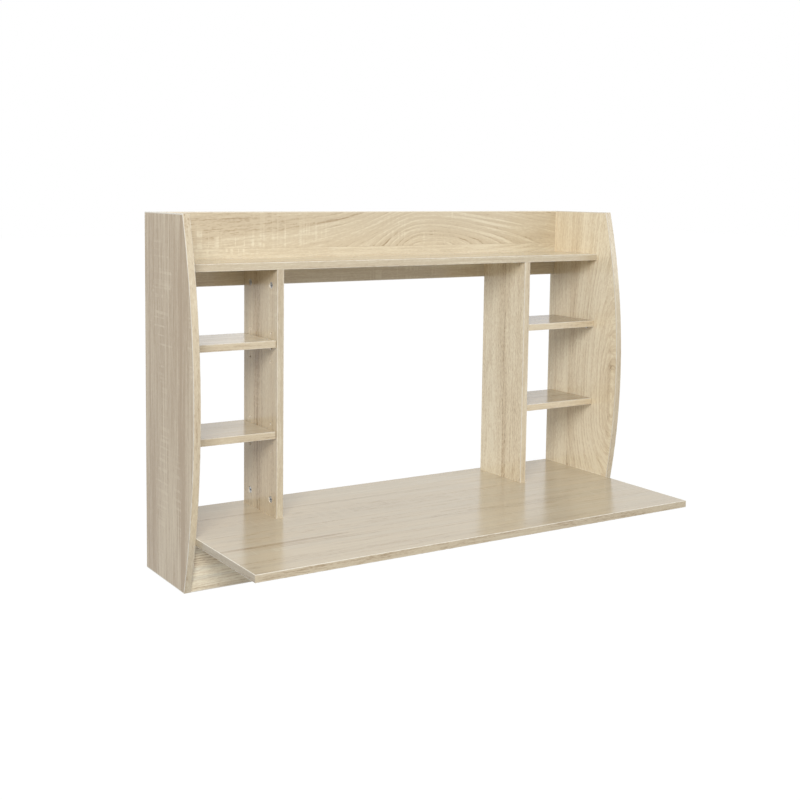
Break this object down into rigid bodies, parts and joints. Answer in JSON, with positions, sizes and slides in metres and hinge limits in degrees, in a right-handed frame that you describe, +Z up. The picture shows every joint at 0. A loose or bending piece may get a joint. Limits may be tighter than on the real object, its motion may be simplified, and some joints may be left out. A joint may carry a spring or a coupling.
{
  "type": "wall desk",
  "caption": "Wall-mounted writing desk of light oak board with bowed side panels, a top tray, open side bays with loose shelves and a deep desktop on an apron.",
  "frame": {"origin": "on the wall, in the middle of the top back rail's back face", "axes": "+X to the desk's right as a person facing it sees it, +Y into the wall, +Z up"},
  "size_m": [1.1, 0.48, 0.75],
  "materials": {
    "oak_board": "printed light oak laminate, semi-gloss",
    "oak_edging": "printed light oak edging strip, semi-gloss",
    "zinc": "die-cast zinc, dull",
    "beech": "plain fluteless beech dowel",
    "nickel": "nickel-plated steel",
    "hanger_steel": "bright zinc-plated steel"
  },
  "bodies": {
    "carcass": {"cam_bolts": "zinc", "cam_locks": "zinc", "desktop": "oak_board", "desktop_front_edging": "oak_edging", "desktop_left_edging": "oak_edging", "desktop_right_edging": "oak_edging", "front_apron": "oak_board", "front_apron_edging": "oak_edging", "hanger_screws": "hanger_steel", "keyhole_hangers": "hanger_steel", "left_divider": "oak_board", "left_divider_edging": "oak_edging", "left_side_bottom_edging": "oak_edging", "left_side_front_edging": "oak_edging", "left_side_panel": "oak_board", "left_side_top_edging": "oak_edging", "lower_back_rail": "oak_board", "lower_back_rail_edging": "oak_edging", "right_divider": "oak_board", "right_divider_edging": "oak_edging", "right_side_bottom_edging": "oak_edging", "right_side_front_edging": "oak_edging", "right_side_panel": "oak_board", "right_side_top_edging": "oak_edging", "shelf_pegs": "nickel", "top_back_rail": "oak_board", "top_back_rail_lower_edging": "oak_edging", "top_back_rail_upper_edging": "oak_edging", "top_shelf": "oak_board", "top_shelf_edging": "oak_edging", "wooden_dowels": "beech"},
    "left_upper_shelf": {"left_upper_shelf": "oak_board", "left_upper_shelf_edging": "oak_edging"},
    "left_lower_shelf": {"left_lower_shelf": "oak_board", "left_lower_shelf_edging": "oak_edging"},
    "right_upper_shelf": {"right_upper_shelf": "oak_board", "right_upper_shelf_edging": "oak_edging"},
    "right_lower_shelf": {"right_lower_shelf": "oak_board", "right_lower_shelf_edging": "oak_edging"}
  },
  "joints": [
    {"name": "left_upper_shelf_slide", "type": "slide", "parent": "carcass", "child": "left_upper_shelf", "axis": [0, -1, 0], "range_m": [0, 0.25]},
    {"name": "left_lower_shelf_slide", "type": "slide", "parent": "carcass", "child": "left_lower_shelf", "axis": [0, -1, 0], "range_m": [0, 0.25]},
    {"name": "right_upper_shelf_slide", "type": "slide", "parent": "carcass", "child": "right_upper_shelf", "axis": [0, -1, 0], "range_m": [0, 0.25]},
    {"name": "right_lower_shelf_slide", "type": "slide", "parent": "carcass", "child": "right_lower_shelf", "axis": [0, -1, 0], "range_m": [0, 0.25]}
  ]
}
